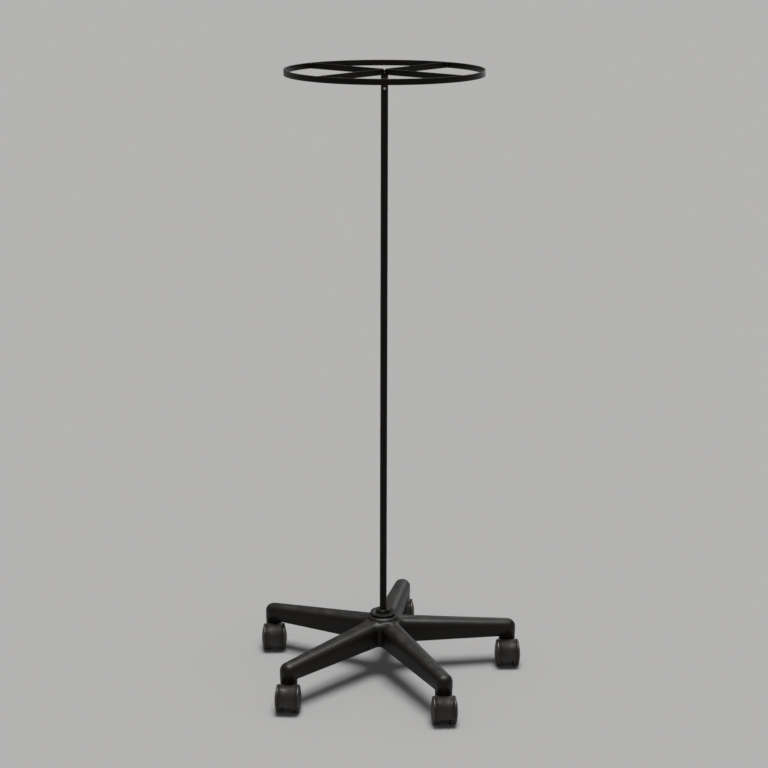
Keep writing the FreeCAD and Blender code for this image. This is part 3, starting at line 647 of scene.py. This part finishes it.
def joined_copy(node):
    """Copy of a frame node's mesh with its loose corners joined."""
    mesh = frame["nodes"][node].data.copy()
    work = bmesh.new()
    work.from_mesh(mesh)
    bmesh.ops.remove_doubles(work, verts=work.verts, dist=JOIN_DISTANCE)
    work.to_mesh(mesh)
    work.free()
    return mesh


def made_by_nodes(name, tree, values, base=None):
    """Plain mesh that a Geometry Nodes tree makes from named values."""
    seed = link(name + "_seed", base or bpy.data.meshes.new(name + "_seed"))
    maker = seed.modifiers.new("maker", "NODES")
    maker.node_group = tree
    for item in tree.interface.items_tree:
        if item.in_out == "INPUT" and item.name in values:
            maker[item.identifier] = values[item.name]
    graph = bpy.context.evaluated_depsgraph_get()
    mesh = bpy.data.meshes.new_from_object(seed.evaluated_get(graph))
    mesh.name = name
    bpy.data.objects.remove(seed)
    return mesh


print("one unit here is", MM, "m for a millimetre")

# %% [markdown]
# ### Hanging hoop
# The hoop is flat bar, rolled into a circle on its edge, with the mill's small rounds on all four corners.
# A tree sweeps a rounded rectangle round a circle, so the bar's size and the hoop's size stay separate
# numbers. Spinning the section in mesh code gives the same shape, but a sweep is how any bent bar can be
# made.

# %% Tree: swept hoop
BAR_THICKNESS = 3.175 * MM
BAR_EDGE = 0.5 * MM
HOOP_STEPS = 288
RING_INNER_R = RING_OUTER_R - BAR_THICKNESS


def swept_hoop_tree():
    """Rounded flat bar swept round a level circle."""
    tree, start, end = new_group(
        "swept_hoop", "GeometryNodeTree",
        (("Geometry", "geometry", None), ("Hoop Radius", "value", 0.2), ("Hoop Height", "value", 1.0),
         ("Bar Thickness", "value", 0.003), ("Bar Height", "value", 0.012), ("Edge Radius", "value", 0.0005),
         ("Steps", "count", 64), ("Finish", "material", None)),
        (("Geometry", "geometry"),))
    sizes = start.outputs
    circle = add_node(tree, "GeometryNodeCurvePrimitiveCircle", {
        "Resolution": sizes["Steps"], "Radius": sizes["Hoop Radius"]})
    bar = add_node(tree, "GeometryNodeCurvePrimitiveQuadrilateral", {
        "Width": sizes["Bar Thickness"], "Height": sizes["Bar Height"]})
    eased = add_node(tree, "GeometryNodeFilletCurve", {
        "Curve": bar.outputs["Curve"], "Radius": sizes["Edge Radius"], "Count": 4}, mode="POLY")
    swept = add_node(tree, "GeometryNodeCurveToMesh", {
        "Curve": circle.outputs["Curve"], "Profile Curve": eased.outputs["Curve"]})
    lift = add_node(tree, "ShaderNodeCombineXYZ", {"Z": sizes["Hoop Height"]})
    lifted = add_node(tree, "GeometryNodeTransform", {
        "Geometry": swept.outputs["Mesh"], "Translation": lift.outputs["Vector"]})
    plain = add_node(tree, "GeometryNodeRealizeInstances", {"Geometry": lifted.outputs["Geometry"]})
    coated = add_node(tree, "GeometryNodeSetMaterial", {
        "Geometry": plain.outputs["Geometry"], "Material": sizes["Finish"]})
    plug(tree, end, {"Geometry": coated.outputs["Geometry"]})
    return tree


def outward(mesh):
    """The same mesh with its doubles merged and its faces pointing outwards."""
    work = bmesh.new()
    work.from_mesh(mesh)
    bmesh.ops.remove_doubles(work, verts=work.verts, dist=JOIN_DISTANCE)
    bmesh.ops.recalc_face_normals(work, faces=work.faces)
    work.to_mesh(mesh)
    work.free()
    return mesh


hoop_mesh = outward(made_by_nodes("hanging_hoop", swept_hoop_tree(), {
    "Hoop Radius": RING_OUTER_R - BAR_THICKNESS / 2.0,
    "Hoop Height": RING_TOP_Z - BAR_HEIGHT / 2.0,
    "Bar Thickness": BAR_THICKNESS,
    "Bar Height": BAR_HEIGHT,
    "Edge Radius": BAR_EDGE,
    "Steps": HOOP_STEPS,
    "Finish": POWDER_COAT,
}))
hoop = finish_piece(link("hanging_hoop", hoop_mesh), ["hanging_ring"])
print("hoop", len(hoop_mesh.polygons), "faces, height", round(hoop.dimensions.z / MM, 2), "mm")

# %% [markdown]
# ### Spokes
# Four lengths of the same bar stand on edge between the post and the hoop. Each has its upper inner corner
# cut off at 45 degrees, so that the four leave a small notch over the post, and its outer end follows the
# hoop. One spoke is made in mesh code, and a tree turns copies of it round the post.

# %% One spoke and the tree that repeats it
SPOKE_NODES = ["spoke_1", "spoke_2", "spoke_3", "spoke_4"]
FIRST_SPOKE = math.radians(49.5)
SPOKE_START = 1.9 * MM
SPOKE_BEVEL = 3.0 * MM
CORNER_STEPS = 4


SPOKE_SHARES = (0.0, 0.03, 0.35, 0.7, 1.0)    # where along a spoke its sections stand


def corner_arc(y, z, first):
    """Quarter round about a point of the bar's section, from an angle in degrees."""
    angles = [math.radians(first + 90.0 * k / CORNER_STEPS) for k in range(CORNER_STEPS + 1)]
    return [(y + BAR_EDGE * math.cos(angle), z + BAR_EDGE * math.sin(angle)) for angle in angles]


def bar_outline(foot_z, top_z, notch_z):
    """Points round the bar's section, as (y, z), with a point on each side at the notch's height."""
    side = BAR_THICKNESS / 2.0
    inset = side - BAR_EDGE
    low, high = foot_z + BAR_EDGE, top_z - BAR_EDGE
    points = corner_arc(inset, low, -90.0) + [(side, notch_z)]
    points += corner_arc(inset, high, 0.0) + corner_arc(-inset, high, 90.0)
    return points + [(-side, notch_z)] + corner_arc(-inset, low, 180.0)


def spoke_mesh():
    """One spoke along +X."""
    foot_z = RING_TOP_Z - BAR_HEIGHT
    notch_z = RING_TOP_Z - SPOKE_BEVEL
    outline = bar_outline(foot_z, RING_TOP_Z, notch_z)
    work = bmesh.new()
    rings = []
    for share in SPOKE_SHARES:
        ring = []
        for y, z in outline:
            inner = SPOKE_START + max(0.0, z - notch_z)
            outer = math.sqrt(RING_INNER_R ** 2 - y ** 2)
            ring.append(work.verts.new((inner + (outer - inner) * share, y, z)))
        rings.append(ring)
    count = len(outline)
    for near, far in zip(rings, rings[1:]):
        for k in range(count):
            work.faces.new((near[k], near[(k + 1) % count], far[(k + 1) % count], far[k]))
    low = [vert for vert, (y, z) in zip(rings[0], outline) if z <= notch_z + 1e-9]
    high = [vert for vert, (y, z) in zip(rings[0], outline) if z >= notch_z - 1e-9]
    work.faces.new(low)
    work.faces.new(high)
    work.faces.new(rings[-1])
    return mesh_of("spoke_blank", work)


def turned_copies_tree():
    """Copies of an object, each turned a step further about the origin."""
    tree, start, end = new_group(
        "turned_copies", "GeometryNodeTree",
        (("Geometry", "geometry", None), ("Copy", "object", None), ("Count", "count", 4),
         ("First Turn", "vector", (0.0, 0.0, 0.0)), ("Step", "vector", (0.0, 0.0, 1.0)),
         ("Finish", "material", None)),
        (("Geometry", "geometry"),))
    sizes = start.outputs
    pattern = add_node(tree, "GeometryNodeObjectInfo", {"Object": sizes["Copy"]})
    points = add_node(tree, "GeometryNodePoints", {"Count": sizes["Count"]})
    index = add_node(tree, "GeometryNodeInputIndex").outputs[0]
    steps = add_node(tree, "ShaderNodeVectorMath", {0: sizes["Step"]}, operation="SCALE")
    tree.links.new(index, steps.inputs["Scale"])
    turn = add_node(tree, "ShaderNodeVectorMath", {
        0: sizes["First Turn"], 1: steps.outputs[0]}, operation="ADD")
    rotation = add_node(tree, "FunctionNodeEulerToRotation", {0: turn.outputs[0]})
    copies = add_node(tree, "GeometryNodeInstanceOnPoints", {
        "Points": points.outputs[0],
        "Instance": pattern.outputs["Geometry"],
        "Rotation": rotation.outputs[0]})
    plain = add_node(tree, "GeometryNodeRealizeInstances", {"Geometry": copies.outputs[0]})
    coated = add_node(tree, "GeometryNodeSetMaterial", {
        "Geometry": plain.outputs["Geometry"], "Material": sizes["Finish"]})
    plug(tree, end, {"Geometry": coated.outputs["Geometry"]})
    return tree


TURNED_COPIES = turned_copies_tree()


def turned_copies(name, mesh, count, first, step, finish):
    """Mesh with several turned copies of another."""
    pattern = link(name + "_pattern", mesh)
    made = made_by_nodes(name, TURNED_COPIES, {
        "Copy": pattern, "Count": count, "First Turn": first, "Step": step, "Finish": finish})
    bpy.data.objects.remove(pattern)
    return made


spokes_mesh = turned_copies(
    "spokes", spoke_mesh(), len(SPOKE_NODES), (0.0, 0.0, FIRST_SPOKE),
    (0.0, 0.0, 2.0 * math.pi / len(SPOKE_NODES)), POWDER_COAT)
finish_piece(link("spokes", spokes_mesh), SPOKE_NODES)
print("spokes:", len(spokes_mesh.polygons), "faces")

# %% [markdown]
# ### Welds
# A fillet weld is laid as a row of small overlapping puddles, which leaves its ripples. A tree drops a
# flattened ball at even steps along a path, and a fine voxel remesh melts the balls into one skin, as the
# metal does. There are two upright beads at each spoke's outer end, and a ring of short ones where the
# spokes cross the post.

# %% Welds
SPIGOT_TOP_Z = RING_TOP_Z - BAR_HEIGHT + 4.0 * MM
BEAD_RIPPLES = 8
BEAD_FLATNESS = 0.62
BEAD_VOXEL = 0.28 * MM


def weld_ripples_tree():
    """Flattened balls at even steps along a path."""
    tree, start, end = new_group(
        "weld_ripples", "GeometryNodeTree",
        (("Geometry", "geometry", None), ("Ripples", "count", 8), ("Bead Radius", "value", 0.002),
         ("Flatness", "value", 0.6), ("Finish", "material", None)),
        (("Geometry", "geometry"),))
    sizes = start.outputs
    path = add_node(tree, "GeometryNodeMeshToCurve", {"Mesh": sizes["Geometry"]})
    steps = add_node(tree, "GeometryNodeResampleCurve", {
        "Curve": path.outputs["Curve"], "Count": sizes["Ripples"]})
    drop = add_node(tree, "GeometryNodeMeshUVSphere", {
        "Segments": 16, "Rings": 10, "Radius": sizes["Bead Radius"]})
    squash = add_node(tree, "ShaderNodeCombineXYZ", {"X": 1.0, "Y": 1.0, "Z": sizes["Flatness"]})
    drops = add_node(tree, "GeometryNodeInstanceOnPoints", {
        "Points": steps.outputs["Curve"],
        "Instance": drop.outputs["Mesh"],
        "Scale": squash.outputs["Vector"]})
    plain = add_node(tree, "GeometryNodeRealizeInstances", {"Geometry": drops.outputs[0]})
    coated = add_node(tree, "GeometryNodeSetMaterial", {
        "Geometry": plain.outputs["Geometry"], "Material": sizes["Finish"]})
    plug(tree, end, {"Geometry": coated.outputs["Geometry"]})
    return tree


WELD_RIPPLES = weld_ripples_tree()


def path_mesh(name, runs):
    """Edges along several runs of points."""
    corners, edges = [], []
    for run in runs:
        first = len(corners)
        corners += run
        edges += [(first + k, first + k + 1) for k in range(len(run) - 1)]
    mesh = bpy.data.meshes.new(name)
    mesh.from_pydata(corners, edges, [])
    return mesh


def melted(name, mesh, voxel):
    """One skin round overlapping shells."""
    lump = link(name + "_lump", mesh)
    melt = lump.modifiers.new("melt", "REMESH")
    melt.mode = "VOXEL"
    melt.voxel_size = voxel
    graph = bpy.context.evaluated_depsgraph_get()
    skin = bpy.data.meshes.new_from_object(lump.evaluated_get(graph))
    skin.name = name
    bpy.data.objects.remove(lump)
    return skin


def weld_piece(name, node, runs, radius, flatness):
    """Rippled weld along some paths."""
    balls = made_by_nodes(name, WELD_RIPPLES, {
        "Ripples": BEAD_RIPPLES, "Bead Radius": radius, "Flatness": flatness, "Finish": POWDER_COAT,
    }, base=path_mesh(name + "_path", runs))
    skin = melted(name, balls, BEAD_VOXEL)
    finish_piece(link(name, skin), [node])
    print(name, "has", len(skin.polygons), "faces")


def about_post(angle, out, aside, height):
    """Point given by a spoke's direction: how far out, how far to its left, and how high."""
    ahead = (math.cos(angle), math.sin(angle))
    return (ahead[0] * out - ahead[1] * aside, ahead[1] * out + ahead[0] * aside, height)


def spoke_angles():
    """Directions of the four spokes."""
    return [FIRST_SPOKE + k * math.pi / 2.0 for k in range(len(SPOKE_NODES))]


def hoop_bead_runs():
    """Upright paths in the corners between the spokes and the hoop."""
    foot, top = RING_TOP_Z - BAR_HEIGHT + 2.0 * MM, RING_TOP_Z - 2.0 * MM
    return [
        [about_post(angle, RING_INNER_R - 0.9 * MM, side * 2.2 * MM, z) for z in (foot, top)]
        for angle in spoke_angles() for side in (-1.0, 1.0)
    ]


def post_bead_runs():
    """Short arcs on the spigot's rim, one in each corner between two spokes."""
    runs = []
    for angle in spoke_angles():
        turns = [angle + math.radians(28.0 + 34.0 * k / 4.0) for k in range(5)]
        runs.append([about_post(turn, 4.1 * MM, 0.0, SPIGOT_TOP_Z + 0.5 * MM) for turn in turns])
    return runs


weld_piece("hoop_welds", "ring_welds", hoop_bead_runs(), 2.0 * MM, BEAD_FLATNESS)
weld_piece("post_top_weld", "centre_weld", post_bead_runs(), 1.5 * MM, 0.9)

# %% [markdown]
# ### Collar and wheels, turned from a profile
# A turned or moulded round piece is one profile spun round its axis. The profile is a list of corners, and
# the corners that a tool or a mould would round are eased by small arcs before spinning. A Screw modifier
# would spin it too, but mesh code closes the poles cleanly and can store each point's radius.

# %% Helpers for spun pieces
EASE_STEPS = 4


def eased(corners):
    """Polyline with rounded corners. Each corner is (along, radius from the axis, corner's round)."""
    points = []
    for k, (along, out, ease) in enumerate(corners):
        here = Vector((along, out))
        if ease == 0.0 or k in (0, len(corners) - 1):
            points.append(here)
            continue
        before = Vector(corners[k - 1][:2]) - here
        after = Vector(corners[k + 1][:2]) - here
        half = before.angle(after) / 2.0
        trim = ease / math.tan(half)
        centre = here + (before.normalized() + after.normalized()).normalized() * (ease / math.sin(half))
        first = here + before.normalized() * trim - centre
        last = here + after.normalized() * trim - centre
        for step in range(EASE_STEPS + 1):
            points.append(centre + first.lerp(last, step / EASE_STEPS).normalized() * ease)
    return points


def spun_mesh(name, profile, steps, closed=False):
    """Profile of (along, out) points spun about the X axis. Points on the axis become poles."""
    work = bmesh.new()
    reach = work.verts.layers.float.new(TREAD_ATTRIBUTE)
    widest = max(point[1] for point in profile)
    rings = []
    for along, out in profile:
        turns = 1 if out < JOIN_DISTANCE else steps
        ring = []
        for k in range(turns):
            angle = 2.0 * math.pi * k / steps
            vert = work.verts.new((along, out * math.cos(angle), out * math.sin(angle)))
            vert[reach] = out / widest
            ring.append(vert)
        rings.append(ring)
    pairs = list(zip(rings, rings[1:])) + ([(rings[-1], rings[0])] if closed else [])
    for near, far in pairs:
        for k in range(steps):
            near_pair = [near[k % len(near)], near[(k + 1) % len(near)]]
            far_pair = [far[(k + 1) % len(far)], far[k % len(far)]]
            corners = near_pair + far_pair
            face = list(dict.fromkeys(corners))
            if len(face) > 2:
                work.faces.new(face)
    return mesh_of(name, work)


print("each eased corner has", EASE_STEPS, "steps")

# %% [markdown]
# ### Collar
# The collar is the visible top of a tapered bushing that centres the post in the base. Its upper edge is
# bevelled, and a light groove under the bevel shows where the turning tool stopped.

# %% Collar
POST_R = 7.9375 * MM
HUB_RIM_Z = 142.0 * MM
BUSHING_FOOT_Z = 76.0 * MM
POST_FOOT_Z = 86.0 * MM
COLLAR_R = 15.5 * MM
COLLAR_TOP_Z = HUB_RIM_Z + 7.5 * MM
BOLT_HOLE_R = 4.3 * MM


def collar_profile():
    """Corners of the bushing's section as (height, radius, round)."""
    bore = POST_R + 0.05 * MM
    return eased([
        (COLLAR_TOP_Z, bore, 0.0),
        (COLLAR_TOP_Z, COLLAR_R - 1.6 * MM, 0.25 * MM),
        (COLLAR_TOP_Z - 1.6 * MM, COLLAR_R, 0.25 * MM),
        (COLLAR_TOP_Z - 4.0 * MM, COLLAR_R, 0.10 * MM),
        (COLLAR_TOP_Z - 4.3 * MM, COLLAR_R - 0.3 * MM, 0.10 * MM),
        (COLLAR_TOP_Z - 4.6 * MM, COLLAR_R, 0.10 * MM),
        (HUB_RIM_Z, COLLAR_R, 0.20 * MM),
        (HUB_RIM_Z, 13.95 * MM, 0.0),
        (BUSHING_FOOT_Z, 13.0 * MM, 0.20 * MM),
        (BUSHING_FOOT_Z, BOLT_HOLE_R, 0.20 * MM),
        (POST_FOOT_Z, BOLT_HOLE_R, 0.0),
        (POST_FOOT_Z, bore, 0.0),
    ])


collar_mesh = spun_mesh("post_collar", collar_profile(), 96, closed=True)
collar_mesh.transform(Matrix.Rotation(math.radians(-90.0), 4, "Y"))
collar = finish_piece(link("post_collar", collar_mesh), ["hub_bushing"])
print("collar", [round(v / MM, 1) for v in collar.dimensions], "mm")

# %% [markdown]
# ### Caster wheels
# Each wheel is hollow towards the caster's middle: a domed face with a ring groove, a rim with the tread, a
# hub on the axle and five ribs between. It is made once on the X axis and laid on every axle the frame has.
# The ribs are copies of one rib, turned round the axle by the same tree that placed the spokes.

# %% Wheel
WHEEL_R = 28.5 * MM
WHEEL_CROWN = 29.6 * MM
WHEEL_SHOULDER = 24.8 * MM
WHEEL_SKIN = 2.4 * MM
WHEEL_FACE = 11.0 * MM
RIM_FACE = 11.5 * MM
RIM_INNER_R = 25.3 * MM
HUB_R = 8.0 * MM
BORE_R = 4.05 * MM
BORE_END = 26.45 * MM
GROOVE_R = 16.5 * MM
GROOVE_HALF = 0.7 * MM
GROOVE_DEPTH = 0.8 * MM
RIB_COUNT = 5
RIB_HALF = 1.0 * MM
WHEEL_STEPS = 96


def dome_at(radius, inset=0.0):
    """How far along the axle the domed face is at a radius, moved inwards by an inset."""
    rise = WHEEL_CROWN - WHEEL_SHOULDER
    sphere = (WHEEL_R ** 2 + rise ** 2) / (2.0 * rise)
    return WHEEL_CROWN - sphere + math.sqrt((sphere - inset) ** 2 - radius ** 2)


def dome_run(radii, inset=0.0):
    """Corners along the dome, none of them rounded."""
    return [(dome_at(radius * MM, inset), radius * MM, 0.0) for radius in radii]


def wheel_profile():
    """Corners of the wheel's section, from the middle of its face round to the end of its bore."""
    groove_floor = dome_at(GROOVE_R) - GROOVE_DEPTH
    low, high = GROOVE_R - GROOVE_HALF, GROOVE_R + GROOVE_HALF
    corners = dome_run((0.0, 2.5, 5.0, 7.5, 10.0, 12.0, 14.0))
    corners += [
        (dome_at(low), low, 0.25 * MM),
        (groove_floor, low + 0.2 * MM, 0.20 * MM),
        (groove_floor, high - 0.2 * MM, 0.20 * MM),
        (dome_at(high), high, 0.25 * MM),
    ]
    corners += dome_run((19.0, 21.0, 23.0, 25.0))
    corners += [
        (dome_at(WHEEL_R), WHEEL_R, 1.8 * MM),
        (RIM_FACE, WHEEL_R, 0.5 * MM),
        (RIM_FACE, RIM_INNER_R, 0.4 * MM),
        (dome_at(RIM_INNER_R, WHEEL_SKIN), RIM_INNER_R, 0.0),
    ]
    corners += dome_run((22.0, 18.0, 14.0, 11.0), WHEEL_SKIN)
    corners += [
        (dome_at(HUB_R, WHEEL_SKIN), HUB_R, 0.0),
        (WHEEL_FACE, HUB_R, 0.4 * MM),
        (WHEEL_FACE, BORE_R, 0.3 * MM),
        (BORE_END, BORE_R, 0.0),
        (BORE_END, 0.0, 0.0),
    ]
    return eased(corners)


def rib_mesh():
    """One rib inside the wheel, in the plane through the axle, reaching into hub, skin and rim."""
    inner, outer = HUB_R - 2.0 * MM, RIM_INNER_R + 1.6 * MM
    near = WHEEL_FACE + 1.0 * MM
    section = [(near, inner), (dome_at(inner, WHEEL_SKIN / 2.0), inner),
               (dome_at(outer, WHEEL_SKIN / 2.0), outer), (near, outer)]
    work = bmesh.new()
    sides = [
        [work.verts.new((along, side * RIB_HALF, out)) for along, out in section]
        for side in (-1.0, 1.0)
    ]
    for side in sides:
        work.faces.new(side)
    for k in range(len(section)):
        following = (k + 1) % len(section)
        work.faces.new((sides[0][k], sides[0][following], sides[1][following], sides[1][k]))
    return mesh_of("wheel_rib", work)


def wheel_mesh():
    """Spun wheel and its ribs in one mesh."""
    work = bmesh.new()
    work.from_mesh(spun_mesh("wheel_turning", wheel_profile(), WHEEL_STEPS))
    step = (2.0 * math.pi / RIB_COUNT, 0.0, 0.0)
    work.from_mesh(turned_copies("wheel_ribs", rib_mesh(), RIB_COUNT, (0.0, 0.0, 0.0), step, WHEEL_NYLON))
    mesh = bpy.data.meshes.new("caster_wheel")
    work.to_mesh(mesh)
    work.free()
    return mesh


def on_axle(joint, outward_sign):
    """Place of a wheel: its X axis along the joint's axis, away from the caster's middle."""
    along = Vector(joint["axis"]).normalized() * outward_sign
    up = Vector((0.0, 0.0, 1.0))
    turn = Matrix((along, up.cross(along), up)).transposed().to_4x4()
    return Matrix.Translation(joint["pos_m"]) @ turn


PLACES = ["right", "back", "left", "front_left", "front_right"]
WHEEL = wheel_mesh()
for place in PLACES:
    for letter, outward_sign in (("a", 1.0), ("b", -1.0)):
        name = f"{place}_caster_wheel_{letter}"
        mesh = WHEEL.copy()
        mesh.transform(on_axle(JOINTS[f"{place}_roll_{letter}"], outward_sign))
        finish_piece(link(name + "_moulding", mesh), [name])
print("wheels:", 2 * len(PLACES), "of", len(WHEEL.polygons), "faces each")

# %% [markdown]
# ### Base, hoods, post and screws
# These mouldings and tubes have the right shape in the frame already, with their ribs, grooves and rounds.
# A copy of each is joined into one skin, so that its round faces shade smoothly while its edges stay crisp.

# %% Joined copies of frame nodes
JOINED = ["star_base", "post_tube", "ring_set_screw", "foot_washer", "foot_bolt"]
JOINED += [f"{place}_caster_{piece}" for place in PLACES for piece in ("hood", "stem")]
for node in JOINED:
    piece = finish_piece(link(node + "_skin", joined_copy(node)), [node])
    if node in ("star_base", "right_caster_hood"):
        print(node, len(piece.data.polygons), "faces")

# %% [markdown]
# ### Hidden steel
# The spigot in the post, its foot plug, the lock washer, axles, clips and grip rings are almost out of sight.
# They stay as the frame's own nodes. Only their material changes, so their shape is exactly the frame's.

# %% Finish the frame's own nodes
SHOWN_BY_PIECES = set(JOINED) | set(SPOKE_NODES)
SHOWN_BY_PIECES |= {"hanging_ring", "ring_welds", "centre_weld", "hub_bushing"}
SHOWN_BY_PIECES |= {f"{place}_caster_wheel_{letter}" for place in PLACES for letter in "ab"}
kept_nodes = [node for node in NODE_BODY if node not in SHOWN_BY_PIECES]
for node in kept_nodes:
    for slot in frame["nodes"][node].material_slots:
        slot.material = FINISHES[NODE_SLOT[node]]
print("frame nodes that stay:", len(kept_nodes))
